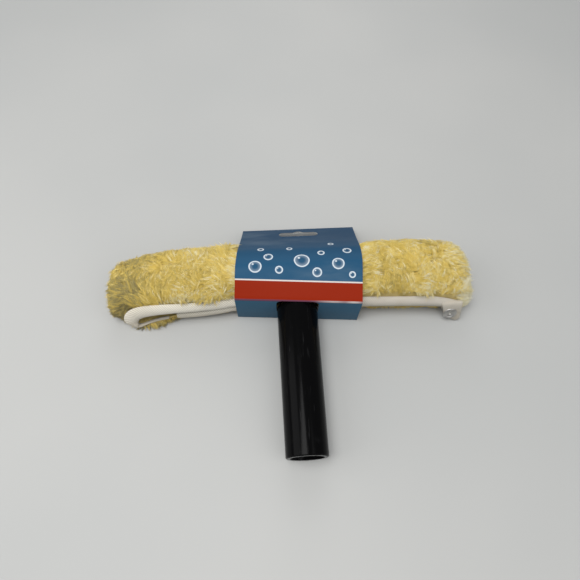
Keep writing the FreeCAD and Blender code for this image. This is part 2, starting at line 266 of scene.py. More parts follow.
def extrudeRow(bm, edges):  # gives the new points and edges
    geometry = bmesh.ops.extrude_edge_only(bm, edges=edges)["geom"]
    newVerts = [item for item in geometry if isinstance(item, bmesh.types.BMVert)]
    newEdges = [item for item in geometry if isinstance(item, bmesh.types.BMEdge)]
    return newVerts, newEdges


def sweep(bm, section, places, chart):  # pulls a row of points along a run of places, with its own map
    along = bm.verts.layers.float.get("along") or bm.verts.layers.float.new("along")
    around = bm.verts.layers.float.get("around") or bm.verts.layers.float.new("around")
    row = []
    for point in section:
        vert = bm.verts.new(places[0] @ Vector(point))
        vert[around] = row[-1][around] + (vert.co - row[-1].co).length if row else 0.0
        row.append(vert)
    edges = [bm.edges.new(pair) for pair in zip(row, row[1:])]
    travelled = 0.0
    for back, place in zip(places, places[1:]):
        verts, edges = extrudeRow(bm, edges)
        bmesh.ops.transform(bm, matrix=place @ back.inverted(), verts=verts)
        travelled += (place.translation - back.translation).length
        for vert in verts:
            vert[along] = travelled
    drawChart(bm, chart, along, around)


# Camera, lamps and table

cameraView = {
    "at": (-0.0173, -0.0340, 0.3000),
    "right": (0.99847, -0.05406, 0.01174),
    "up": (0.04278, 0.88898, 0.45594),
    "back": (-0.03508, -0.45474, 0.88993),
    "lens": 27.93,
    "sensor": 36.0,
    "shift": 0.0026,
    "nearest": 0.01,
}
lens = bpy.data.cameras.new("camera")
lens.lens = cameraView["lens"]
lens.sensor_width = cameraView["sensor"]
lens.shift_x = cameraView["shift"]
lens.clip_start = cameraView["nearest"]
camera = addObject("camera", lens)
turn = Matrix((cameraView["right"], cameraView["up"], cameraView["back"])).transposed().to_4x4()
camera.matrix_world = Matrix.Translation(cameraView["at"]) @ turn
scene.camera = camera
scene.view_settings.view_transform = "Standard"

lampSettings = {  # place, aim, size, watts
    "ceilingLamp": ((-0.30, -0.05, 1.25), (0.0, 0.10, 0.0), 0.70, 10.5),
    "windowLamp": ((-0.95, 0.05, 0.65), (0.0, 0.10, 0.0), 0.80, 3.5),
    "roomLamp": ((0.75, -0.45, 1.00), (0.0, 0.08, 0.0), 1.20, 4.5),
    "backLamp": ((0.10, 1.30, 0.80), (0.0, 0.10, 0.0), 0.90, 4.0),
}
for name, (place, aim, size, watts) in lampSettings.items():
    lamp = bpy.data.lights.new(name, "AREA")
    lamp.size = size
    lamp.energy = watts
    holder = addObject(name, lamp)
    holder.location = place
    holder.rotation_euler = (Vector(aim) - Vector(place)).to_track_quat("-Z", "Y").to_euler()

roomLight = {
    "Color": (0.93, 0.95, 0.97, 1.0),
    "Strength": 0.30,
}
world = bpy.data.worlds.new("room")
world.use_nodes = True
for name, value in roomLight.items():
    world.node_tree.nodes["Background"].inputs[name].default_value = value
scene.world = world

# In the tables of looks a noise is its scale, detail and roughness, a bump its depth and strength,
# and a range the two values between which a mask changes

tableLook = {
    "size": 3.0,
    "gap": 0.0001,  # between the table and the tool
    "cloudNoise": (3.0, 3.0),
    "cloudRange": (0.3, 0.7),
    "grey": (0.45, 0.455, 0.445),
    "paleGrey": (0.49, 0.49, 0.475),
    "roughness": 0.55,
    "shine": 0.3,
}


def paleTable(look):
    finish = Finish("paleTable")
    cloud = finish.noise(finish.spot(), *look["cloudNoise"])
    return finish.surface({
        "Base Color": finish.mix(cloud.step(*look["cloudRange"]), look["grey"], look["paleGrey"]),
        "Roughness": look["roughness"],
        "Specular IOR Level": look["shine"],
    })


bm = bmesh.new()
bmesh.ops.create_grid(bm, x_segments=1, y_segments=1, size=tableLook["size"],
                      matrix=Matrix.Translation((0.0, 0.0, floorZ - tableLook["gap"])))
table = addObject("table", meshFrom("table", bm))
table.data.materials.append(paleTable(tableLook).material)
print("camera, lamps and table set")


# Handle, crossbar, plugs, rivets and the snap's inner pieces keep their solids and get their finishes

handleLook = {
    "black": (0.0022, 0.0022, 0.0024),
    "rubbed": (0.05, 0.05, 0.052),
    "rubbedTint": 0.5,
    "grainNoise": (900.0, 3.0),
    "scuffStretch": (900.0, 60.0, 900.0),
    "scuffTurn": (0.1, 0.0, 0.25),
    "scuffNoise": (1.0, 4.0, 0.6),
    "scuffRange": (0.62, 0.72),
    "scuffShare": 0.5,
    "wearNoise": (120.0, 5.0, 0.65),
    "wearRange": (0.52, 0.66),
    "wearShare": 0.6,
    "mouthRange": (0.0005, 0.012),  # along y, where the wear at the mouth fades
    "roughness": 0.12,
    "wearRoughness": 0.08,
    "rubbedRoughness": 0.25,
    "shine": 0.06,
    "grainHeight": 0.4,
    "rubbedDepth": 0.3,
    "bump": (0.00006, 0.5),
}


def blackPlastic(look):
    finish = Finish("blackPlastic")
    spot = finish.spot()
    grain = finish.noise(spot, *look["grainNoise"])
    scuff = finish.noise(finish.stretch(spot, look["scuffStretch"], look["scuffTurn"]), *look["scuffNoise"])
    wear = finish.noise(spot, *look["wearNoise"])
    nearMouth = finish.split(spot).out("Y").fade(*look["mouthRange"])
    rubbed = scuff.step(*look["scuffRange"]) * look["scuffShare"]
    rubbed = rubbed + nearMouth * wear.step(*look["wearRange"]) * look["wearShare"]
    return finish.surface({
        "Base Color": finish.mix(rubbed * look["rubbedTint"], look["black"], look["rubbed"]),
        "Roughness": look["roughness"] + look["wearRoughness"] * wear + look["rubbedRoughness"] * rubbed,
        "Specular IOR Level": look["shine"],
        "Normal": finish.bump(grain * look["grainHeight"] - rubbed * look["rubbedDepth"], *look["bump"]),
    })


barLook = {
    "drawnStretch": (12.0, 1500.0, 1500.0),
    "drawnNoise": (1.0, 3.0),
    "dark": (0.66, 0.67, 0.68),
    "bright": (0.78, 0.79, 0.80),
    "roughness": 0.28,
    "drawnRoughness": 0.16,
    "bump": (0.00004, 0.6),
}


def barAluminium(look):
    finish = Finish("barAluminium")
    drawn = finish.noise(finish.stretch(finish.spot(), look["drawnStretch"]), *look["drawnNoise"])
    return finish.surface({
        "Base Color": finish.mix(drawn, look["dark"], look["bright"]),
        "Metallic": 1.0,
        "Roughness": look["roughness"] + look["drawnRoughness"] * drawn,
        "Normal": finish.bump(drawn, *look["bump"]),
    })


plugLook = {
    "grainNoise": (1400.0, 3.0),
    "dark": (0.02, 0.02, 0.02),
    "pale": (0.035, 0.035, 0.036),
    "roughness": 0.5,
    "grainRoughness": 0.15,
    "bump": (0.00005, 0.5),
}


def plugPlastic(look):
    finish = Finish("plugPlastic")
    grain = finish.noise(finish.spot(), *look["grainNoise"])
    return finish.surface({
        "Base Color": finish.mix(grain, look["dark"], look["pale"]),
        "Roughness": look["roughness"] + look["grainRoughness"] * grain,
        "Normal": finish.bump(grain, *look["bump"]),
    })


metalLook = {
    "grainNoise": (1600.0, 3.0),
    "stainNoise": (260.0, 4.0),
    "stainRange": (0.4, 0.7),
    "clean": (0.52, 0.51, 0.49),
    "stained": (0.36, 0.35, 0.33),
    "roughness": 0.30,
    "stainRoughness": 0.18,
    "grainRoughness": 0.06,
    "bump": (0.00003, 0.4),
}


def dullNickel(look):
    finish = Finish("dullNickel")
    spot = finish.spot()
    grain = finish.noise(spot, *look["grainNoise"])
    stain = finish.noise(spot, *look["stainNoise"])
    return finish.surface({
        "Base Color": finish.mix(stain.step(*look["stainRange"]), look["clean"], look["stained"]),
        "Metallic": 1.0,
        "Roughness": look["roughness"] + look["stainRoughness"] * stain + look["grainRoughness"] * grain,
        "Normal": finish.bump(grain, *look["bump"]),
    })


plugFinish = plugPlastic(plugLook)
metalFinish = dullNickel(metalLook)
solidFinishes = {
    "handle": blackPlastic(handleLook),
    "crossbar": barAluminium(barLook),
    "end_plug_left": plugFinish,
    "end_plug_right": plugFinish,
    "tongue_rivets": metalFinish,
    "snap_socket": metalFinish,
    "snap_stud": metalFinish,
    "snap_post": metalFinish,
}
for node, finish in solidFinishes.items():
    solid = frame["nodes"][node]
    solid.data.materials.clear()
    solid.data.materials.append(finish.material)
print("handle and bar finished")


# Hanging card: one strip folded round the sleeve, from the flap's lower layer round to its upper one

cardShape = {
    "thickness": 0.00046,
    "leftX": -0.0449,
    "rightX": 0.0454,
    "skew": 0.068,
    "frontY": 0.0985,
    "panelY": (0.1055, 0.0985),  # at the left and right edges
    "foldZ": 0.0156,
    "floorBack": 0.1565,
    "crown": [(0.1226, 0.0247), (0.1311, 0.0252), (0.1409, 0.0213), (0.1493, 0.0151)],
    "crownSteps": 6,
    "flapRoot": (0.1615, 0.00534),
    "flapEnd": (0.1790, -0.00736),
    "flapShares": (1 / 3, 2 / 3, 1.0),
    "layers": 0.0013,  # both layers of the flap, straight down
    "crease": 0.0008,
    "creaseSteps": 3,
    "cuts": 30,
    "cutDepth": 0.030,
    "holeY": 0.0936,
    "handleHole": 0.01506,
    "holeSides": 96,
    "holeCorner": 0.0045,
    "cornerSteps": 10,
    "slot": {"at": (0.00504, 0.1690), "length": 0.031, "width": 0.0065, "bump": 0.0044, "rise": 0.00085},
    "slotSides": 40,
    "sharpAngle": math.radians(40),
}


def cardSlant(y):  # how far the card's sides lean along x
    return cardShape["skew"] * (y - cardShape["frontY"])


def cardEdge(bm, side, along):  # the card's outer face at one edge, measured from its front fold
    panelY = cardShape["panelY"][side]
    sideX = (cardShape["leftX"], cardShape["rightX"])[side]
    rootY, rootZ = cardShape["flapRoot"]
    endY, endZ = cardShape["flapEnd"]
    layers = cardShape["layers"]
    below = [(endY, endZ - layers), (rootY, rootZ - layers)]
    below += [(cardShape["floorBack"], floorZ), (panelY, floorZ)]
    fold = (panelY, cardShape["foldZ"])
    top = curveThrough([fold] + cardShape["crown"] + [(rootY, rootZ)], cardShape["crownSteps"])
    flap = [(rootY + (endY - rootY) * share, rootZ + (endZ - rootZ) * share)
            for share in cardShape["flapShares"]]
    points = below + [tuple(point) for point in top] + flap
    verts = [bm.verts.new((sideX + cardSlant(y), y, z)) for y, z in points]
    for pair in zip(verts, verts[1:]):
        bm.edges.new(pair)
    reach = 0.0
    for vert, before in zip(verts[1:], verts):
        reach += (vert.co - before.co).length
        vert[along] = reach
    foldIndex = len(below)
    foldReach = verts[foldIndex][along]
    for vert in verts:
        vert[along] -= foldReach
    bmesh.ops.bevel(bm, geom=verts[1:foldIndex + 1], affect="VERTICES", offset=cardShape["crease"],
                    segments=cardShape["creaseSteps"], profile=0.5, material=-1)
    return [edge for edge in bm.edges if edge.is_wire]


def foldCard():
    bm = bmesh.new()
    along = bm.verts.layers.float.new("along")
    across = bm.verts.layers.float.new("across")
    leftVerts = {vert for edge in cardEdge(bm, 0, along) for vert in edge.verts}
    bothEdges = cardEdge(bm, 1, along)
    for vert in bm.verts:
        vert[across] = 0.0 if vert in leftVerts else cardShape["rightX"] - cardShape["leftX"]
    bmesh.ops.bridge_loops(bm, edges=bothEdges)
    crossing = [edge for edge in bm.edges if (edge.verts[0] in leftVerts) != (edge.verts[1] in leftVerts)]
    bmesh.ops.subdivide_edges(bm, edges=crossing, cuts=cardShape["cuts"], use_grid_fill=True)
    faceOut(bm)
    drawChart(bm, "print", across, along)
    return bm


printLook = {  # places run across the card, and along it from the front fold
    "fleckNoise": (1500.0, 2.0),
    "fleckShare": 0.25,
    "fleck": (0.75, 0.75, 0.75),
    "blueRange": (0.014, 0.075),
    "blue": (0.022, 0.090, 0.175),
    "deepBlue": (0.017, 0.055, 0.112),
    "cloudStretch": (12.0, 40.0, 40.0),
    "cloudNoise": (1.0, 4.0, 0.55),
    "cloudRange": (0.52, 0.80),
    "cloudShare": 0.35,
    "cloud": (0.20, 0.26, 0.31),
    "bubbles": [  # place across, place along, radius
        (0.014, 0.024, 0.0042), (0.023, 0.033, 0.0030), (0.017, 0.043, 0.0020), (0.031, 0.022, 0.0024),
        (0.047, 0.030, 0.0052), (0.058, 0.021, 0.0030), (0.061, 0.038, 0.0022), (0.073, 0.028, 0.0040),
        (0.080, 0.041, 0.0028), (0.083, 0.020, 0.0020), (0.038, 0.044, 0.0018), (0.069, 0.053, 0.0018),
    ],
    "bubble": (0.78, 0.84, 0.88),
    "bubbleShare": 0.8,
    "outlineRange": (0.00025, 0.0006),
    "fillFrom": 0.3,  # share of the radius
    "fillShare": 0.30,
    "fillEdge": 0.0002,
    "glintOffset": 0.4,  # share of the radius, as its range is
    "glintRange": (0.10, 0.22),
    "glintShare": 0.9,
    "bandStart": (-0.0002, 0.0002),
    "bandEnd": (0.0138, 0.0142),
    "red": (0.285, 0.020, 0.004),
    "lineAt": 0.0144,
    "lineRange": (0.0003, 0.0007),
    "line": (0.72, 0.66, 0.62),
    "frontRange": (-0.0006, 0.0),
    "frontBlue": (0.044, 0.125, 0.205),
    # the white line along the fold: partly cracked print, partly a painted highlight of the fold's gloss
    "foldRange": (0.0001, 0.0003),
    "wearNoise": (70.0, 2.0),
    "wearRange": (0.35, 0.65, 0.3, 0.8),
    "crackAndGlintAcross": (0.050, 0.078),
    "crackAndGlint": (0.66, 0.62, 0.58),
    "roughness": 0.30,
    "fleckRoughness": 0.12,
    "crackAndGlintRoughness": 0.25,
    "shine": 0.05,
    "wavesNoise": (45.0, 2.0),
    "fleckHeight": 0.03,
    "bump": (0.0012, 0.25),
}


def printedCard(look):
    finish = Finish("printedCard")
    across, along = finish.chart("print")
    spot = finish.spot()
    fleck = finish.noise(spot, *look["fleckNoise"])
    cloud = finish.noise(finish.stretch(spot, look["cloudStretch"]), *look["cloudNoise"])

    def away(u, v):
        return ((across - u) ** 2 + (along - v) ** 2) ** 0.5

    bubbleMask = None
    for u, v, radius in look["bubbles"]:
        middle = away(u, v)
        fill = middle.step(radius * look["fillFrom"], radius, 0.0, look["fillShare"])
        fill = fill * middle.fade(radius, radius + look["fillEdge"])
        shift = radius * look["glintOffset"]
        glintLow, glintHigh = (radius * share for share in look["glintRange"])
        glint = away(u - shift, v + shift).step(glintLow, glintHigh, look["glintShare"], 0.0)
        mask = abs(middle - radius).fade(*look["outlineRange"]) + fill + glint
        bubbleMask = mask if bubbleMask is None else bubbleMask.most(mask)
    inBand = along.step(*look["bandStart"]) * along.fade(*look["bandEnd"])
    wear = finish.noise(spot, *look["wearNoise"]).step(*look["wearRange"])
    # partly cracked print, partly a painted highlight along the fold
    crackAndGlintFold = abs(along).fade(*look["foldRange"]) * wear * across.step(*look["crackAndGlintAcross"])
    ink = finish.mix(along.step(*look["blueRange"]), look["blue"], look["deepBlue"])
    for mask, colour in (
        (cloud.step(*look["cloudRange"]) * look["cloudShare"], look["cloud"]),
        (bubbleMask.least(1.0) * look["bubbleShare"], look["bubble"]),
        (inBand, look["red"]),
        (abs(along - look["lineAt"]).fade(*look["lineRange"]), look["line"]),
        (along.fade(*look["frontRange"]), look["frontBlue"]),
        (crackAndGlintFold, look["crackAndGlint"]),
    ):
        ink = finish.mix(mask, ink, colour)
    waves = finish.noise(spot, *look["wavesNoise"]) + look["fleckHeight"] * fleck
    return finish.surface({
        "Base Color": finish.mix(fleck * look["fleckShare"], ink, look["fleck"], "MULTIPLY"),
        "Roughness": look["roughness"] + look["fleckRoughness"] * fleck + look["crackAndGlintRoughness"] * crackAndGlintFold,
        "Specular IOR Level": look["shine"],
        "Normal": finish.bump(waves, *look["bump"]),
    })


boardLook = {
    "fibreStretch": (700.0, 2400.0, 2400.0),
    "fibreNoise": (1.0, 4.0, 0.65),
    "fibreRange": (0.35, 0.7),
    "grey": (0.46, 0.44, 0.40),
    "paleGrey": (0.60, 0.58, 0.53),
    "roughness": 0.85,
    "bump": (0.00008, 0.5),
    "edgeNoise": (2600.0, 3.0),
    "edge": (0.62, 0.61, 0.58),
    "paleEdge": (0.78, 0.77, 0.74),
    "edgeRoughness": 0.9,
}


def greyBoard(look):
    finish = Finish("greyBoard")
    fibre = finish.noise(finish.stretch(finish.spot(), look["fibreStretch"]), *look["fibreNoise"])
    return finish.surface({
        "Base Color": finish.mix(fibre.step(*look["fibreRange"]), look["grey"], look["paleGrey"]),
        "Roughness": look["roughness"],
        "Normal": finish.bump(fibre, *look["bump"]),
    })


def cutBoardEdge(look):
    finish = Finish("cutBoardEdge")
    fibre = finish.noise(finish.spot(), *look["edgeNoise"])
    return finish.surface({
        "Base Color": finish.mix(fibre, look["edge"], look["paleEdge"]),
        "Roughness": look["edgeRoughness"],
    })


edgeFinish = cutBoardEdge(boardLook)
cardFinishes = [printedCard(printLook), greyBoard(boardLook), edgeFinish]
card = newPiece("hangCard", foldCard(), "t_bar", cardFinishes, ["hang_card"])
cardWall = addWall(card, cardShape["thickness"], -1.0)
cardWall.use_even_offset = True
cardWall.material_offset = 1
cardWall.material_offset_rim = 2


def cutter(name, bm):
    bmesh.ops.recalc_face_normals(bm, faces=bm.faces)
    tool = addObject(name, meshFrom(name, bm))
    tool.data.materials.append(edgeFinish.material)
    return tool


def roundCutter(name, radius, sides, place):
    bm = bmesh.new()
    bmesh.ops.create_cone(bm, cap_ends=True, segments=sides, radius1=radius, radius2=radius,
                          depth=cardShape["cutDepth"], matrix=place)
    return cutter(name, bm)


def handleCutters():  # a round hole with a squarer top half
    radius, depth = cardShape["handleHole"], cardShape["cutDepth"]
    middle = Matrix.Translation((0.0, cardShape["holeY"], 0.0))
    roundHole = roundCutter("handleCutter", radius, cardShape["holeSides"],
                            middle @ Matrix.Rotation(math.pi / 2, 4, "X"))
    bm = bmesh.new()
    bmesh.ops.create_cube(bm, size=1.0, matrix=Matrix.Translation((0.0, cardShape["holeY"], radius / 2))
                          @ Matrix.Diagonal((2 * radius, depth, radius, 1.0)))
    topCorners = [edge for edge in bm.edges if abs(edge.verts[0].co.y - edge.verts[1].co.y) > depth / 2
                  and edge.verts[0].co.z > radius / 2]
    bmesh.ops.bevel(bm, geom=topCorners, affect="EDGES", offset=cardShape["holeCorner"],
                    segments=cardShape["cornerSteps"], profile=0.5, material=-1)
    return [roundHole, cutter("holeCutter", bm)]


def slotCutters():  # a long slot with a bump in its rear side
    slot = cardShape["slot"]
    slotX, slotY = slot["at"]
    half = (slot["length"] - slot["width"]) / 2
    endRadius = slot["width"] / 2
    rounds = [(-half, 0.0, endRadius), (half, 0.0, endRadius), (0.0, slot["rise"], slot["bump"])]
    tools = [roundCutter("slotRound%d" % number, radius, cardShape["slotSides"],
                         Matrix.Translation((slotX + stepX, slotY + stepY, 0.0)))
             for number, (stepX, stepY, radius) in enumerate(rounds)]
    bm = bmesh.new()
    bmesh.ops.create_cube(bm, size=1.0, matrix=Matrix.Translation((slotX, slotY, 0.0))
                          @ Matrix.Diagonal((2 * half, slot["width"], cardShape["cutDepth"], 1.0)))
    return tools + [cutter("slotRun", bm)]


cardTools = handleCutters() + slotCutters()
for tool in cardTools:
    cut = card.modifiers.new(tool.name, "BOOLEAN")
    cut.operation = "DIFFERENCE"
    cut.solver = "EXACT"
    cut.object = tool
applyModifiers(card)
card.data.set_sharp_from_angle(angle=cardShape["sharpAngle"])
for tool in cardTools:
    bpy.data.objects.remove(tool)
print("card folded")


# Fleece sleeve: backing cloth from the upper lip of the slit over the bar to the lower lip

fleeceShape = {
    "left": -0.1340,
    "right": 0.1265,
    "steps": 104,
    "pinchY": 0.112,
    "height": 0.0386,
    "outline": [  # y and z at full size
        (0.1067, 0.0045), (0.1074, 0.0086), (0.1101, 0.0130), (0.1151, 0.0170), (0.1224, 0.0198),
        (0.1306, 0.0205), (0.1388, 0.0190), (0.1458, 0.0143), (0.1503, 0.0066), (0.1519, -0.0022),
        (0.1506, -0.0086), (0.1462, -0.0113), (0.1380, -0.0119), (0.1280, -0.0120), (0.1180, -0.0119),
        (0.1113, -0.0112), (0.1081, -0.0090), (0.1066, -0.0052),
    ],
    "outlineSteps": 4,
    "stations": [  # x, then shares of depth, height and toe
        (-0.1340, 0.60, 0.64, 0.0), (-0.1318, 0.77, 0.78, 0.1), (-0.1265, 0.85, 0.86, 0.4),
        (-0.1155, 0.90, 0.90, 1.0), (-0.1040, 0.935, 0.925, 1.0), (-0.0985, 0.955, 0.945, 0.6),
        (-0.0920, 0.975, 0.97, 0.3), (-0.0826, 0.99, 0.99, 0.05), (-0.0720, 1.0, 1.0, 0.0),
        (0.0888, 1.0, 1.0, 0.0), (0.1020, 0.99, 0.98, 0.0), (0.1135, 0.965, 0.95, 0.0),
        (0.1205, 0.92, 0.90, 0.0), (0.1250, 0.85, 0.81, 0.0), (0.1265, 0.72, 0.68, 0.0),
    ],
    "upperLip": [  # z along x
        (-0.1225, -0.0066), (-0.1212, -0.0050), (-0.1185, -0.0024), (-0.1135, -0.0004), (-0.1020, 0.0030),
        (-0.0910, 0.0040), (0.0900, 0.0036), (0.1000, 0.0026), (0.1063, 0.0012), (0.1130, -0.0014),
        (0.1190, -0.0052), (0.1265, -0.0070),
    ],
    "lowerLip": [
        (-0.1225, -0.0066), (-0.1205, -0.0095), (-0.1164, -0.0112), (-0.1080, -0.0100), (-0.0940, -0.0090),
        (-0.0880, -0.0075), (-0.0450, -0.0050), (0.1000, -0.0058), (0.1130, -0.0070), (0.1190, -0.0076),
        (0.1265, -0.0073),
    ],
    "lipReach": 0.011,
    "lipEase": 1.3,
    "press": [(-0.050, 0.0), (-0.042, 0.0026), (0.046, 0.0026), (0.054, 0.0)],  # below the card, along x
    "pressed": [(0.125, 0.0), (0.140, 0.9), (0.148, 1.0), (0.154, 0.2)],  # and along y
    "settle": [  # how far its front goes back, along x
        (-0.105, -0.0002), (-0.085, 0.0003), (-0.067, 0.0009), (-0.049, 0.0023), (-0.040, 0.0034),
        (0.040, 0.0010), (0.052, 0.0003), (0.075, -0.0008), (0.095, -0.0012), (0.106, -0.0020),
        (0.120, -0.0026),
    ],
    "settleY": 0.1066,
    "settleDepth": 0.012,
    "toe": 0.0125,
    "toeY": 0.1147,
    "toeRise": 0.36,  # share of the height
    "floorGap": 0.0015,
    "domes": [(0.62, 0.0010), (0.35, 0.0005), (0.01, 0.0002)],  # shrink and push of each gather at an end
    "endGap": 1e-5,
    "weld": 0.0003,
    "cut": (0.116, 0.290),  # the cloth before it is sewn round the bar
    "thickness": 0.0012,
}


def gatherEnd(bm, end, way):  # closes an end to a low dome
    edges = [edge for edge in bm.edges
             if all(abs(vert.co.x - end) < fleeceShape["endGap"] for vert in edge.verts)]
    for shrink, push in fleeceShape["domes"]:
        verts, edges = extrudeRow(bm, edges)
        middle = sum((vert.co for vert in verts), Vector()) / len(verts)
        bmesh.ops.scale(bm, vec=(1.0, shrink, shrink), space=Matrix.Translation(-middle), verts=verts)
        bmesh.ops.translate(bm, vec=(way * push, 0.0, 0.0), verts=verts)


def sewSleeve():
    bm = bmesh.new()
    outline = curveThrough(fleeceShape["outline"], fleeceShape["outlineSteps"])
    left, right, steps = (fleeceShape[key] for key in ("left", "right", "steps"))
    places = [Matrix.Translation((left + (right - left) * step / steps, 0.0, 0.0))
              for step in range(steps + 1)]
    sweep(bm, [(0.0, point.x, point.y) for point in outline], places, "weave")
    around = bm.verts.layers.float["around"]
    girth = max(vert[around] for vert in bm.verts)
    upperZ, lowerZ = fleeceShape["outline"][0][1], fleeceShape["outline"][-1][1]
    for vert in bm.verts:
        x, y, z = vert.co
        depth, height, toe = valueAt(fleeceShape["stations"], x)
        up = (z - floorZ) / fleeceShape["height"]
        newY = fleeceShape["pinchY"] + (y - fleeceShape["pinchY"]) * depth
        atFront = max(0.0, 1.0 - (y - fleeceShape["settleY"]) / fleeceShape["settleDepth"])
        newY += valueAt(fleeceShape["settle"], x)[0] * atFront
        newZ = floorZ + (z - floorZ) * height
        if z > 0.0:
            newZ -= valueAt(fleeceShape["press"], x)[0] * valueAt(fleeceShape["pressed"], y)[0]
        lips = (("upperLip", upperZ, vert[around]), ("lowerLip", lowerZ, girth - vert[around]))
        for lip, lipZ, away in lips:
            share = max(0.0, 1.0 - away / fleeceShape["lipReach"]) ** fleeceShape["lipEase"]
            newZ += share * (valueAt(fleeceShape[lip], x)[0] - floorZ - (lipZ - floorZ) * height)
        if y < fleeceShape["toeY"] and up < fleeceShape["toeRise"]:
            newY -= fleeceShape["toe"] * toe * (1.0 - up / fleeceShape["toeRise"])
        vert.co = (x, newY, max(newZ, floorZ + fleeceShape["floorGap"]))
    gatherEnd(bm, left, -1)
    gatherEnd(bm, right, 1)
    bmesh.ops.remove_doubles(bm, verts=bm.verts, dist=fleeceShape["weld"])
    faceOut(bm)
    steadyOrder(bm)
    return bm


backingLook = {
    "knitWave": 4200.0,
    "toneNoise": (160.0, 4.0),
    "toneRange": (0.3, 0.7),
    "dark": (0.46, 0.34, 0.09),
    "pale": (0.62, 0.48, 0.18),
    "roughness": 0.92,
    "sheen": 0.3,
    "bump": (0.0002, 0.7),
}


def backingKnit(look):
    finish = Finish("fleeceBacking")
    along, around = finish.chart("weave")
    knit = (along * look["knitWave"]).sine() * (around * look["knitWave"]).sine()
    tone = finish.noise(finish.spot(), *look["toneNoise"])
    return finish.surface({
        "Base Color": finish.mix(tone.step(*look["toneRange"]), look["dark"], look["pale"]),
        "Roughness": look["roughness"],
        "Sheen Weight": look["sheen"],
        "Normal": finish.bump(knit, *look["bump"]),
    })


skin = sewSleeve()
backing = newPiece("fleeceBacking", skin.copy(), "sleeve", [backingKnit(backingLook)],
                   ["fleece_cover"])
addWall(backing, fleeceShape["thickness"], -1.0)
applyModifiers(backing)
print("backing sewn")


# Pile: tufts of a few tapered strands, scattered over the backing and combed by region

pileShape = {
    "seed": 11,
    "variants": 8,
    "strands": 5,
    "length": 0.0096,
    "lengths": (0.72, 1.12),  # least and most share of the length
    "forward": 0.86,
    "forwardEase": 1.35,
    "rise": 0.0036,
    "rises": (0.6, 1.2),
    "riseWave": 1.9,
    "splay": 0.12,
    "curl": 0.06,
    "curlWave": 4.2,
    "rootSpread": 0.0010,
    "rootDepth": 0.0006,
    "gather": 0.6,  # how far the strands of a tuft close up towards their tips
    "rootRadius": 0.00017,
    "sides": 3,
    "rings": (0.0, 0.38, 0.74, 1.0),  # places along a strand
    "taper": (1.0, 0.95, 0.70, 0.1),
    "density": 1050000.0,
    "sizes": (0.8, 1.2),
    "swirl": 4.0,
    "swirlNoise": (48.0, 1.0),
    "clump": 2.2,
    "clumpNoise": (190.0, 1.0),
    "stray": 0.32,
    "frizz": 0.0018,
    "frizzNoise": (130.0, 2.0),
    "floorGap": 0.0003,
    "tone": 0.41,
    "streak": 0.74,
    "streakNoise": (220.0, 3.0),
    "patch": 0.90,
    "patchNoise": (45.0, 1.0),
    "paleTuft": 0.52,
    "paleEase": 3.0,
    "toneChart": (0.03, 0.93),  # start and span on the map
    "tipChart": (0.02, 0.96),
    "sideChart": 0.012,
    "soften": 0.48,  # how far a strand's shading follows the skin below it
    "softenLift": 0.6,
    "softenRange": (0.15, 1.0),
    "patches": [-0.140, -0.122, -0.106, -0.090, -0.073, -0.057, 0.0, 0.062, 0.079, 0.096, 0.112, 0.140],
}


def makeTuft(number, rng):
    bm = bmesh.new()
    along = bm.verts.layers.float.new("along")
    side = bm.verts.layers.float.new("side")
    last = len(pileShape["rings"]) - 1
    spread = pileShape["rootSpread"]
    curl = pileShape["length"] * rng.uniform(-pileShape["curl"], pileShape["curl"])
    for strand in range(pileShape["strands"]):
        length = pileShape["length"] * rng.uniform(*pileShape["lengths"])
        rise = pileShape["rise"] * rng.uniform(*pileShape["rises"])
        splay = length * rng.uniform(-pileShape["splay"], pileShape["splay"])
        root = Vector((rng.uniform(-spread, spread), rng.uniform(-spread, spread), -pileShape["rootDepth"]))
        spots = []
        for share in pileShape["rings"]:
            ahead = pileShape["forward"] * length * share ** pileShape["forwardEase"]
            aside = splay * share - pileShape["gather"] * root.y * share
            aside += curl * math.sin(share * pileShape["curlWave"])
            spots.append(root + Vector((ahead, aside, rise * math.sin(share * pileShape["riseWave"]))))
        places = []
        for index, spot in enumerate(spots):
            heading = spots[min(index + 1, last)] - spots[max(index - 1, 0)]
            wide = pileShape["rootRadius"] * pileShape["taper"][index]
            size = Vector((wide, wide, wide))
            places.append(Matrix.LocRotScale(spot, heading.to_track_quat("Z", "Y"), size))
        ring = bmesh.ops.create_circle(bm, cap_ends=True, segments=pileShape["sides"], radius=1.0,
                                       matrix=places[0])["verts"]
        edges = list({edge for vert in ring for edge in vert.link_edges})
        for turn, vert in enumerate(ring):
            vert[side] = turn / (pileShape["sides"] - 1)
        for index in range(1, last + 1):
            verts, edges = extrudeRow(bm, edges)
            bmesh.ops.transform(bm, matrix=places[index] @ places[index - 1].inverted(), verts=verts)
            for vert in verts:
                vert[along] = pileShape["rings"][index]
        bmesh.ops.pointmerge(bm, verts=verts, merge_co=spots[last])
    bmesh.ops.recalc_face_normals(bm, faces=bm.faces)
    steadyOrder(bm)
    mesh = meshFrom("tuft%d" % number, bm)
    mesh.shade_smooth()
    return bpy.data.objects.new(mesh.name, mesh)


rng = np.random.default_rng(pileShape["seed"])
tufts = bpy.data.collections.new("tufts")
for number in range(pileShape["variants"]):
    tufts.objects.link(makeTuft(number, rng))

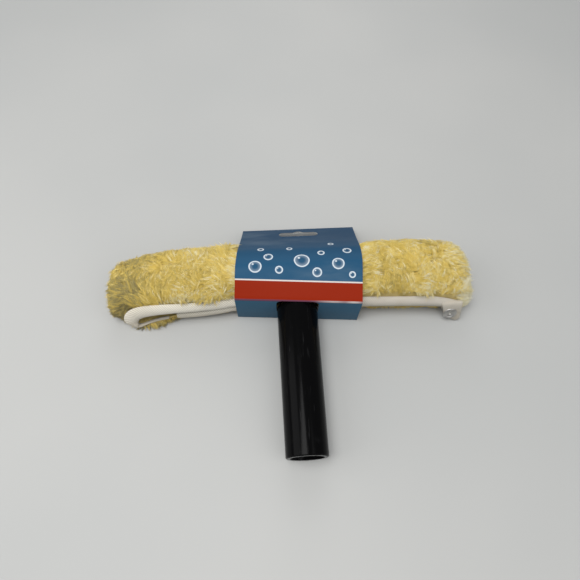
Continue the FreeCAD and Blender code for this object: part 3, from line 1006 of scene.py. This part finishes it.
combShape = {  # a lean is a direction, a long or trim a share of a strand's length
    "lean": (0.0, 0.0, -0.15),
    "table": {"z": -0.0095, "thick": 0.5, "long": 0.75, "toeX": -0.088, "toeY": 0.113},
    # under is the distance inwards from the card's edges
    "cover": {"under": 0.004, "lowUnder": -0.004, "lowZ": -0.0075},
    "card": {"under": -0.008, "lean": (2.6, 0.0, 0.0)},
    "swell": {"start": -0.018, "end": -0.004, "z": 0.008, "gain": 0.35, "rise": 0.008, "fall": 0.003},
    "shorn": {"under": -0.006, "y": 0.120, "front": 0.68, "rear": 0.85},
    "lip": {
        "reach": 0.010,
        "y": 0.116,
        "left": -0.119,
        "right": 0.1185,
        "bareLeft": 0.0046,
        "bareRight": 0.0062,
        "long": 0.55,
        "upperLean": (0.0, 1.2, 3.6),
        "lowerLean": (0.0, -0.4, -1.6),
        # painted light: the pile just above the tape on the left is paled against the shade in that crease
        "tone": 0.22,
    },
    "leftEnd": {"x": -0.112, "span": 0.018, "lean": (-0.7, -0.1, -0.3), "lowTrim": 0.40, "trim": 0.28},
    "rightEnd": {"x": 0.112, "span": 0.014, "lean": (1.3, 0.0, -0.3), "trim": 0.30},
    "toe": {"x": -0.080, "y": 0.112, "z": -0.006, "long": 0.85, "bareZ": -0.0125},
    "soilAndShade": [  # shift of tone along x: the left end darker, partly dirt, partly painted shade; the sewn right end paler
        (-0.135, -0.33), (-0.124, -0.29), (-0.112, -0.22), (-0.097, -0.11), (-0.078, 0.01), (-0.050, 0.03),
        (0.050, -0.03), (0.095, 0.0), (0.108, 0.10), (0.118, 0.25), (0.128, 0.34),
    ],
    # the lower left end darker: partly dirt, partly painted shade where it faces down
    "grey": {"x": -0.085, "z": 0.0, "tone": 0.22},
    # painted light: the lower front rows above the tape are paled, where light from above leaves them darker
    "clean": {"x": -0.088, "y": 0.117, "lowZ": -0.004, "highZ": 0.014, "fade": 0.010, "tone": 0.16},
}


def combByCard(x, y, z, long, lay):  # the card covers the pile and combs it outwards
    under = min(x - cardShape["leftX"] - cardSlant(y), cardShape["rightX"] + cardSlant(y) - x)
    cover, card, swell, shorn = (combShape[key] for key in ("cover", "card", "swell", "shorn"))
    covered = under > cover["under"] or (under > cover["lowUnder"] and z < cover["lowZ"])
    if under > card["under"]:
        outwards = Vector(card["lean"]) * (-1.0 if x < 0.0 else 1.0)
        lay += outwards * min(1.0, (under - card["under"]) / -card["under"])
    if x < 0.0 and swell["start"] < under < swell["end"] and z > swell["z"]:  # clear of the card as it slides
        fullness = min(1.0, (under - swell["start"]) / swell["rise"], (swell["end"] - under) / swell["fall"])
        long *= 1.0 + swell["gain"] * fullness
    if under > shorn["under"]:
        long *= shorn["front"] if y < shorn["y"] else shorn["rear"]
    return covered, long, lay


def combByEnds(x, z, long, lay):
    left, right = combShape["leftEnd"], combShape["rightEnd"]
    if x < left["x"]:
        share = min(1.0, (left["x"] - x) / left["span"])
        lay += Vector(left["lean"]) * share
        long *= 1.0 - (left["lowTrim"] if z < 0.0 else left["trim"]) * share
    if x > right["x"]:
        share = min(1.0, (x - right["x"]) / right["span"])
        lay += Vector(right["lean"]) * share
        long *= 1.0 - right["trim"] * share
    return long, lay


def combSkin(bm):  # how thick, long and pale the pile is at each place, and which way it lies
    grow = bm.verts.layers.float.new("grow")
    reach = bm.verts.layers.float.new("reach")
    tint = bm.verts.layers.float.new("tint")
    comb = bm.verts.layers.float_vector.new("comb")
    around = bm.verts.layers.float["around"]
    girth = max(vert[around] for vert in bm.verts)
    flat, lip, toe, grey, clean = (combShape[key] for key in ("table", "lip", "toe", "grey", "clean"))
    for vert in bm.verts:
        x, y, z = vert.co
        thick, long = 1.0, 1.0
        # the left end's darker tone is partly dirt, partly painted shade
        tone = valueAt(combShape["soilAndShade"], x)[0]
        if z < flat["z"] and not (x < flat["toeX"] and y < flat["toeY"]):  # flattened, but not at the toe
            thick, long = flat["thick"], flat["long"]
        covered, long, lay = combByCard(x, y, z, long, Vector(combShape["lean"]))
        away = min(vert[around], girth - vert[around])
        if away < lip["reach"] and y < lip["y"] and lip["left"] < x < lip["right"]:  # beside the tape
            above = vert[around] < girth / 2
            share = 1.0 - away / lip["reach"]
            covered = covered or (above and away < (lip["bareLeft"] if x < 0.0 else lip["bareRight"]))
            long *= 1.0 - (1.0 - lip["long"]) * share
            lay += Vector(lip["upperLean"] if above else lip["lowerLean"]) * share
            # painted light: paler pile above the tape on the left, where the crease is shaded
            tone += lip["tone"] * share if x < 0.0 and z > 0.0 else 0.0
        long, lay = combByEnds(x, z, long, lay)
        if x < toe["x"] and y < toe["y"] and z < toe["z"]:  # the toe's short pile
            long *= toe["long"]
            covered = covered or z < toe["bareZ"]
        # partly dirt, partly painted shade: the lower left end is darker
        if x < grey["x"] and z < grey["z"]:
            tone -= grey["tone"]
        if x > clean["x"] and y < clean["y"] and clean["lowZ"] < z < clean["highZ"]:  # above the tape: painted light, paling the lower front rows that light from above leaves darker
            tone += clean["tone"] * min(1.0, (clean["highZ"] - z) / clean["fade"])
        vert[grow] = 0.0 if covered else thick
        vert[reach] = long
        vert[tint] = tone
        vert[comb] = lay


def pileNodes(seed):
    tree = bpy.data.node_groups.new("growPile", "GeometryNodeTree")
    tree.interface.new_socket(name="Geometry", in_out="INPUT", socket_type="NodeSocketGeometry")
    tree.interface.new_socket(name="Geometry", in_out="OUTPUT", socket_type="NodeSocketGeometry")
    net = Net(tree)

    def named(name, kind="FLOAT"):
        return net.add("GeometryNodeInputNamedAttribute", {"data_type": kind}, {"Name": name})

    def chance(low, high, number):
        return net.add("FunctionNodeRandomValue", {"data_type": "FLOAT"},
                       {2: low, 3: high, "Seed": seed + number}, out=1)

    def vectors(operation, first, second):
        return net.add("ShaderNodeVectorMath", {"operation": operation}, {0: first, 1: second})

    def scaled(vector, size):
        return net.add("ShaderNodeVectorMath", {"operation": "SCALE"}, {0: vector, "Scale": size})

    def swing(key):  # a smooth random direction
        colour = net.noise(net.add("GeometryNodeInputPosition"), *pileShape[key + "Noise"]).out("Color")
        return scaled(vectors("SUBTRACT", colour, (0.5, 0.5, 0.5)), pileShape[key])

    def keep(geometry, name, kind, value):
        return net.add("GeometryNodeStoreNamedAttribute", {"data_type": kind, "domain": "INSTANCE"},
                       {"Geometry": geometry, "Name": name, "Value": value})

    start = net.add("NodeGroupInput")
    points = net.add("GeometryNodeDistributePointsOnFaces", None,
                     {"Mesh": start, "Density": named("grow") * pileShape["density"], "Seed": seed})
    stray = net.add("FunctionNodeRandomValue", {"data_type": "FLOAT_VECTOR"},
                    {0: (-pileShape["stray"],) * 3, 1: (pileShape["stray"],) * 3, "Seed": seed + 4})
    lay = named("comb", "FLOAT_VECTOR")
    for push in (swing("swirl"), swing("clump"), stray):
        lay = vectors("ADD", lay, push)
    upright = net.add("FunctionNodeAlignRotationToVector", {"axis": "Z"}, {"Vector": points.out("Normal")})
    combed = net.add("FunctionNodeAlignRotationToVector", {"axis": "X", "pivot_axis": "Z"},
                     {"Rotation": upright, "Vector": lay})
    choices = net.add("GeometryNodeCollectionInfo", None,
                      {"Collection": tufts, "Separate Children": True, "Reset Children": True})
    pick = net.add("FunctionNodeRandomValue", {"data_type": "INT"},
                   {4: 0, 5: pileShape["variants"] - 1, "Seed": seed + 1}, out=2)
    planted = net.add("GeometryNodeInstanceOnPoints", None,
                      {"Points": points, "Instance": choices, "Pick Instance": True, "Instance Index": pick,
                       "Rotation": combed, "Scale": named("reach") * chance(*pileShape["sizes"], 2)})
    spot = net.add("GeometryNodeInputPosition")
    streak = net.noise(spot, *pileShape["streakNoise"]) - 0.5
    patch = net.noise(spot, *pileShape["patchNoise"]) - 0.5
    tone = pileShape["tone"] + named("tint") + streak * pileShape["streak"] + patch * pileShape["patch"]
    tone = tone + chance(0.0, 1.0, 3) ** pileShape["paleEase"] * pileShape["paleTuft"]
    toned = keep(planted, "tone", "FLOAT", tone)
    faced = keep(toned, "facing", "FLOAT_VECTOR", points.out("Normal"))
    grown = net.add("GeometryNodeRealizeInstances", None, {"Geometry": faced})
    frizzed = net.add("GeometryNodeSetPosition", None,
                      {"Geometry": grown, "Offset": scaled(swing("frizz"), named("along"))})
    place = net.split(net.add("GeometryNodeInputPosition"))
    aboveTable = place.out("Z").most(floorZ + pileShape["floorGap"])
    onTable = net.add("ShaderNodeCombineXYZ", None, {0: place, 1: place.out("Y"), 2: aboveTable})
    laid = net.add("GeometryNodeSetPosition", None, {"Geometry": frizzed, "Position": onTable})
    net.add("NodeGroupOutput", None, {0: laid})
    return tree


pileLook = {
    "stops": [  # tone and colour
        (0.0, (0.27, 0.22, 0.08)), (0.16, (0.41, 0.34, 0.13)), (0.34, (0.66, 0.49, 0.11)),
        (0.50, (0.80, 0.60, 0.14)), (0.64, (0.84, 0.67, 0.23)), (0.80, (0.86, 0.76, 0.42)),
        (1.0, (0.88, 0.84, 0.66)),
    ],
    # painted shade: the strands darken towards their roots, deep in the pile
    "rootShadeRange": (0.0, 0.45, 0.7, 0.0),
    "root": (0.92, 0.84, 0.58),
    "roughness": 0.62,
    "shine": 0.35,
    "sheen": 0.15,
}


def yellowPile(look):
    finish = Finish("yellowPile")
    tone, tip = finish.chart("OFBake")
    colour = finish.add("ShaderNodeValToRGB", {"stops": look["stops"]}, {0: tone})
    return finish.surface({
        # the multiply is painted shade at the strands' roots
        "Base Color": finish.mix(tip.step(*look["rootShadeRange"]), colour, look["root"], "MULTIPLY"),
        "Roughness": look["roughness"],
        "Specular IOR Level": look["shine"],
        "Sheen Weight": look["sheen"],
    })


def growStrands(number, low, high):  # the strands between two places along x
    patch = skin.copy()
    combSkin(patch)
    for place, way in ((low, 1.0), (high, -1.0)):
        bmesh.ops.bisect_plane(patch, geom=list(patch.verts) + list(patch.edges) + list(patch.faces),
                               plane_co=(place, 0.0, 0.0), plane_no=(way, 0.0, 0.0), clear_inner=True)
    bed = addObject("bed", meshFrom("bed", patch))
    tree = pileNodes(pileShape["seed"] + 10 * number)
    growth = bed.modifiers.new("growth", "NODES")
    growth.node_group = tree
    graph = bpy.context.evaluated_depsgraph_get()
    pile = bpy.data.meshes.new_from_object(bed.evaluated_get(graph))
    bpy.data.objects.remove(bed)
    bpy.data.node_groups.remove(tree)
    return pile


def chartStrands(pile):  # the map takes a strand's tone and side across, and its length down
    def values(name):
        found = np.zeros(len(pile.vertices), np.float32)
        pile.attributes[name].data.foreach_get("value", found)
        return found

    toneStart, toneSpan = pileShape["toneChart"]
    tipStart, tipSpan = pileShape["tipChart"]
    across = toneStart + toneSpan * values("tone").clip(0.0, 1.0) + pileShape["sideChart"] * values("side")
    down = tipStart + tipSpan * values("along")
    corner = np.zeros(len(pile.loops), np.int32)
    pile.loops.foreach_get("vertex_index", corner)
    chart = np.stack([across, down], axis=1)[corner]
    while pile.uv_layers:
        pile.uv_layers.remove(pile.uv_layers[0])
    pile.uv_layers.new(name="OFBake").data.foreach_set("uv", chart.astype(np.float32).ravel())


def softenStrands(pile):  # less below, where the skin faces the table
    facing = np.zeros((len(pile.vertices), 3), np.float32)
    pile.attributes["facing"].data.foreach_get("vector", facing.ravel())
    ownFacing = np.zeros((len(pile.vertices), 3), np.float32)
    pile.vertex_normals.foreach_get("vector", ownFacing.ravel())
    share = pileShape["soften"] * (pileShape["softenLift"] + facing[:, 2:]).clip(*pileShape["softenRange"])
    pile.normals_split_custom_set_from_vertices(ownFacing * (1.0 - share) + facing * share)


def growPatch(number, low, high):
    pile = growStrands(number, low, high)
    chartStrands(pile)
    softenStrands(pile)
    for name in ("tone", "side", "along", "facing"):
        pile.attributes.remove(pile.attributes[name])
    pile.materials.clear()
    pile.materials.append(pileFinish.material)
    pile.name = "pilePatch%d" % number
    piece = addObject(pile.name, pile)
    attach(piece, "sleeve")
    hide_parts("fleece_cover")
    pile.calc_loop_triangles()
    print("pile patch", number, len(pile.loop_triangles), "triangles")
    return piece


pileFinish = yellowPile(pileLook)
pilePieces = [growPatch(number, low, high)
              for number, (low, high) in enumerate(zip(pileShape["patches"], pileShape["patches"][1:]))]
for tuft in list(tufts.objects):
    bpy.data.objects.remove(tuft)
bpy.data.collections.remove(tufts)
skin.free()
print("pile grown")


# White tape: folded over both lips of the slit, and the closing tabs at the right end

tapeShape = {
    "section": [  # across the fold: y from the middle, then away from the slit
        (-0.0007, 0.0034), (-0.0015, 0.0026), (-0.0021, 0.0012), (-0.00225, -0.0004), (-0.0019, -0.0018),
        (-0.0011, -0.0028), (0.0, -0.00325), (0.0011, -0.0028), (0.0018, -0.0016), (0.0020, 0.0002),
        (0.0017, 0.0020), (0.0009, 0.0031),
    ],
    "sectionSteps": 2,
    "cut": (0.016, 0.415),  # the tape before it is folded
    "thickness": 0.0007,
    "stepLength": 0.0016,
    "routeSteps": 24,
    "depthShares": (0.40, 0.45),  # plain, and added by the width
    "sharpAngle": math.radians(50),
    "runs": [  # roll in degrees, then control points of x, y, z and width share
        (-41.0, [
            (-0.0195, 0.1094, 0.0048, 1.28), (-0.0460, 0.1092, 0.0048, 1.28),
            (-0.0540, 0.1076, 0.0048, 1.28), (-0.0720, 0.1062, 0.0047, 1.28),
            (-0.0880, 0.1056, 0.0050, 1.32), (-0.1050, 0.1052, 0.0048, 1.62),
            (-0.1175, 0.1044, 0.0020, 1.72), (-0.1218, 0.1022, -0.0042, 1.60),
            (-0.1196, 0.1006, -0.0096, 1.20), (-0.1160, 0.1006, -0.0112, 0.60),
            (-0.1120, 0.1018, -0.0100, 0.30), (-0.1020, 0.1048, -0.0092, 0.28),
            (-0.0940, 0.1055, -0.0088, 0.28),
        ]),
        (0.0, [
            (-0.0885, 0.1058, -0.0066, 1.05), (-0.0800, 0.1059, -0.0066, 1.1),
            (-0.0680, 0.1064, -0.0062, 1.1), (-0.0540, 0.1076, -0.0050, 1.1),
            (-0.0460, 0.1092, -0.0047, 1.1), (-0.0195, 0.1094, -0.0047, 1.1),
        ]),
        (-41.0, [
            (0.1222, 0.1023, -0.0026, 1.1), (0.1150, 0.1026, -0.0008, 1.2),
            (0.1060, 0.1031, 0.0024, 1.32), (0.0960, 0.1037, 0.0038, 1.40),
            (0.0700, 0.1043, 0.0040, 1.42), (0.0195, 0.1065, 0.0040, 1.42),
        ]),
        (0.0, [
            (0.0195, 0.1088, -0.0062, 0.7), (0.0600, 0.1075, -0.0062, 0.7),
            (0.1000, 0.1060, -0.0064, 0.7), (0.1120, 0.1050, -0.0072, 0.7),
        ]),
    ],
}


def smoothRoute(points):  # close places along a smooth curve near the points
    curve = bpy.data.curves.new("route", "CURVE")
    curve.dimensions = "3D"
    curve.resolution_u = tapeShape["routeSteps"]
    spline = curve.splines.new("NURBS")
    spline.points.add(len(points) - 1)
    for knot, point in zip(spline.points, points):
        knot.co = (*point, 1.0)
    spline.order_u = 3
    spline.use_endpoint_u = True
    guide = bpy.data.objects.new("route", curve)
    mesh = bpy.data.meshes.new_from_object(guide)
    spots = [vert.co.copy() for vert in mesh.vertices]
    bpy.data.objects.remove(guide)
    bpy.data.curves.remove(curve)
    bpy.data.meshes.remove(mesh)
    return spots


def tapePlaces(roll, run):
    route = smoothRoute([point[:3] for point in run])
    shares = smoothRoute([(point[3], 0.0, 0.0) for point in run])
    plainDepth, addedDepth = tapeShape["depthShares"]
    kept = [0]
    for index, spot in enumerate(route):
        if (spot - route[kept[-1]]).length >= tapeShape["stepLength"]:
            kept.append(index)
    places = []
    for index in kept:
        ahead = route[min(index + 1, len(route) - 1)] - route[max(index - 1, 0)]
        ahead = Vector((ahead.x, 0.0, ahead.z)).normalized()
        share = shares[index].x
        deep = Vector((0.0, plainDepth + addedDepth * share, 0.0))
        away = Vector((ahead.z, 0.0, -ahead.x)) * share
        turn = Matrix((ahead, deep, away)).transposed().to_4x4()
        lean = Matrix.Rotation(math.radians(roll) * abs(ahead.x), 4, "X")
        places.append(Matrix.Translation(route[index]) @ turn @ lean)
    return places


twillLook = {
    "slant": 0.9,
    "ribWidth": 0.0016,
    "threadWidth": 0.0007,
    "threadShare": 0.25,
    # painted shade: the twill's grooves are darker than its ribs
    "grooveShade": (0.64, 0.59, 0.49),
    "rib": (0.97, 0.93, 0.81),
    "grimeNoise": (90.0, 4.0, 0.6),
    "grimeRange": (0.55, 0.75),
    "grimeShare": 0.35,
    "grime": (0.55, 0.48, 0.33),
    "lowRange": (-0.0062, -0.0020),  # along z; darker towards the table, partly dirt, partly painted shade
    "lowDirtShadeShares": (0.35, 0.3),  # plain, and added by grime
    "low": (0.43, 0.37, 0.26),
    "leftRange": (-0.116, -0.092),  # along x
    "leftShares": (0.15, 0.4),
    "left": (0.52, 0.46, 0.36),
    # painted shade: the tape is greyer on the right
    "rightRange": (0.02, 0.06),
    "rightShadeShare": 0.60,
    "right": (0.50, 0.45, 0.39),
    "foldRange": (0.0034, 0.0064),  # across the tape: its lower half, towards the slit, gets painted shade
    "slitShadeShares": (0.20, 0.5),
    # painted shade on the tape's lower half, towards the slit
    "fold": (0.42, 0.38, 0.30),
    "roughness": 0.85,
    "sheen": 0.25,
    "threadHeight": 0.5,
    "grimeHeight": 0.8,
    "bump": (0.00028, 0.8),
}


def whiteTwill(look):
    finish = Finish("whiteTwill")
    along, across = finish.chart("weave")
    spot = finish.spot()
    place = finish.split(spot)

    def wave(value, width):
        return (value * (2 * math.pi / width)).sine() * 0.5 + 0.5

    rib = wave(along + across * look["slant"], look["ribWidth"])
    thread = wave(along - across * look["slant"], look["threadWidth"])
    grime = finish.noise(spot, *look["grimeNoise"])

    def patchyShare(key):
        plain, added = look[key]
        return plain + added * grime

    threadShare = look["threadShare"]
    # painted shade in the weave: grooves darker than ribs
    colour = finish.mix(rib * (1.0 - threadShare + threadShare * thread), look["grooveShade"], look["rib"])
    right = place.step(*look["rightRange"])
    for mask, tint in (
        (grime.step(*look["grimeRange"]) * look["grimeShare"], look["grime"]),
        # darker towards the table: partly dirt, partly painted shade
        (place.out("Z").fade(*look["lowRange"]) * patchyShare("lowDirtShadeShares"), look["low"]),
        (place.fade(*look["leftRange"]) * patchyShare("leftShares"), look["left"]),
        # painted shade: the tape greyer on the right
        (right * look["rightShadeShare"], look["right"]),
        # painted shade on the tape's lower half towards the slit, patchy with the grime noise, on the right
        # only
        (across.step(*look["foldRange"]) * right * patchyShare("slitShadeShares"), look["fold"]),
    ):
        colour = finish.mix(mask, colour, tint)
    height = rib + thread * look["threadHeight"] + grime * look["grimeHeight"]
    return finish.surface({
        "Base Color": colour,
        "Roughness": look["roughness"],
        "Sheen Weight": look["sheen"],
        "Normal": finish.bump(height, *look["bump"]),
    })


twillFinish = whiteTwill(twillLook)
bm = bmesh.new()
tapeSection = curveThrough(tapeShape["section"], tapeShape["sectionSteps"])
for roll, run in tapeShape["runs"]:
    sweep(bm, [(0.0, point.x, point.y) for point in tapeSection], tapePlaces(roll, run), "weave")
bmesh.ops.recalc_face_normals(bm, faces=bm.faces)
bmesh.ops.solidify(bm, geom=bm.faces, thickness=tapeShape["thickness"])
bmesh.ops.recalc_face_normals(bm, faces=bm.faces)
binding = newPiece("slitBinding", bm, "sleeve", [twillFinish], ["slit_binding"],
                   tapeShape["sharpAngle"])
print("tape bound")

tabShape = {
    "hinge": (0.0, 0.1018, 0.0030),
    "tilt": math.radians(-20.0),
    "left": 0.1063,
    "width": 0.0150,
    "profile": [  # front and drop, from behind the hem over its top and down
        (0.0018, 0.0034), (0.0015, 0.0008), (0.0002, -0.0002), (-0.0010, 0.0008), (-0.0013, 0.0030),
        (-0.0012, 0.0055), (-0.0009, 0.0085), (-0.0008, 0.0112), (-0.0008, 0.0135), (-0.0008, 0.0155),
        (-0.0008, 0.0170), (-0.0008, 0.0178),
    ],
    "backProfile": [(0.0045, 0.0035), (0.0045, 0.0080), (0.0045, 0.0120), (0.0045, 0.0150), (0.0045, 0.0165)],
    "profileSteps": 4,
    "leftSide": [  # drop and place across
        (-0.0022, -0.0010), (0.0, -0.0002), (0.0065, 0.0021), (0.0115, 0.0038), (0.0130, 0.0052),
        (0.0150, 0.0086), (0.0168, 0.0118), (0.0178, 0.0136),
    ],
    "rightSide": [
        (-0.0022, 0.0144), (0.0, 0.0149), (0.0130, 0.0163), (0.0150, 0.0163), (0.0168, 0.0156),
        (0.0178, 0.0142),
    ],
    "cut": (0.016, 0.022),
    "backCut": (0.015, 0.0135),
    "columns": 16,
    "thickness": 0.0015,
    "softEdge": 0.0005,
    "softSteps": 3,
    "edgeAngle": math.radians(50),
}
onTab = Matrix.Translation(tabShape["hinge"]) @ Matrix.Rotation(tabShape["tilt"], 4, "X")


def tapeTab(name, body, node, profile):
    bm = bmesh.new()
    width, columns = tabShape["width"], tabShape["columns"]
    section = [(0.0, point.x, -point.y) for point in curveThrough(profile, tabShape["profileSteps"])]
    places = [Matrix.Translation((width * step / columns, 0.0, 0.0)) for step in range(columns + 1)]
    sweep(bm, section, places, "weave")
    for vert in bm.verts:
        low, high = (valueAt(tabShape[side], -vert.co.z)[0] for side in ("leftSide", "rightSide"))
        vert.co.x = tabShape["left"] + low + (high - low) * vert.co.x / width
    bmesh.ops.transform(bm, verts=bm.verts, matrix=onTab)
    bmesh.ops.recalc_face_normals(bm, faces=bm.faces)
    piece = newPiece(name, bm, body, [twillFinish], [node])
    addWall(piece, tabShape["thickness"], 0.0)
    rim = piece.modifiers.new("rim", "BEVEL")
    rim.width = tabShape["softEdge"]
    rim.segments = tabShape["softSteps"]
    rim.limit_method = "ANGLE"
    rim.angle_limit = tabShape["edgeAngle"]
    return applyModifiers(piece)


closureTab = tapeTab("closureTab", "snap_tab", "closure_tab", tabShape["profile"])
studTab = tapeTab("studTab", "sleeve", "stud_tab", tabShape["backProfile"])

capShape = {
    "outline": [  # radius and height of the half section, from its rim to its middle
        (0.0014, -0.0016), (0.0014, 0.0), (0.0046, 0.0), (0.0050, 0.0003), (0.0050, 0.0007),
        (0.0047, 0.0011), (0.0042, 0.0012), (0.0036, 0.0010), (0.0033, 0.0006), (0.0030, 0.0004),
        (0.0020, 0.0004), (0.0017, 0.0007), (0.0013, 0.0008), (0.0010, 0.0006), (0.0008, 0.0001),
        (0.0, 0.0001),
    ],
    "across": 0.0077,  # its place on the tab
    "front": -0.0014,
    "drop": 0.0096,
    "steps": 48,
    "weld": 0.00001,
    "sharpAngle": math.radians(50),
}
bm = bmesh.new()
row = [bm.verts.new((radius, 0.0, height)) for radius, height in capShape["outline"]]
edges = [bm.edges.new(pair) for pair in zip(row, row[1:])]
bmesh.ops.spin(bm, geom=row + edges, cent=(0.0, 0.0, 0.0), axis=(0.0, 0.0, 1.0), angle=2 * math.pi,
               steps=capShape["steps"], use_merge=True)
bmesh.ops.remove_doubles(bm, verts=bm.verts, dist=capShape["weld"])
capSpot = Matrix.Translation((tabShape["left"] + capShape["across"], capShape["front"], -capShape["drop"]))
bmesh.ops.transform(bm, verts=bm.verts, matrix=onTab @ capSpot @ Matrix.Rotation(math.pi / 2, 4, "X"))
bmesh.ops.recalc_face_normals(bm, faces=bm.faces)
newPiece("snapCap", bm, "snap_tab", [metalFinish], ["snap_cap"], capShape["sharpAngle"])
print("tabs and snap made")
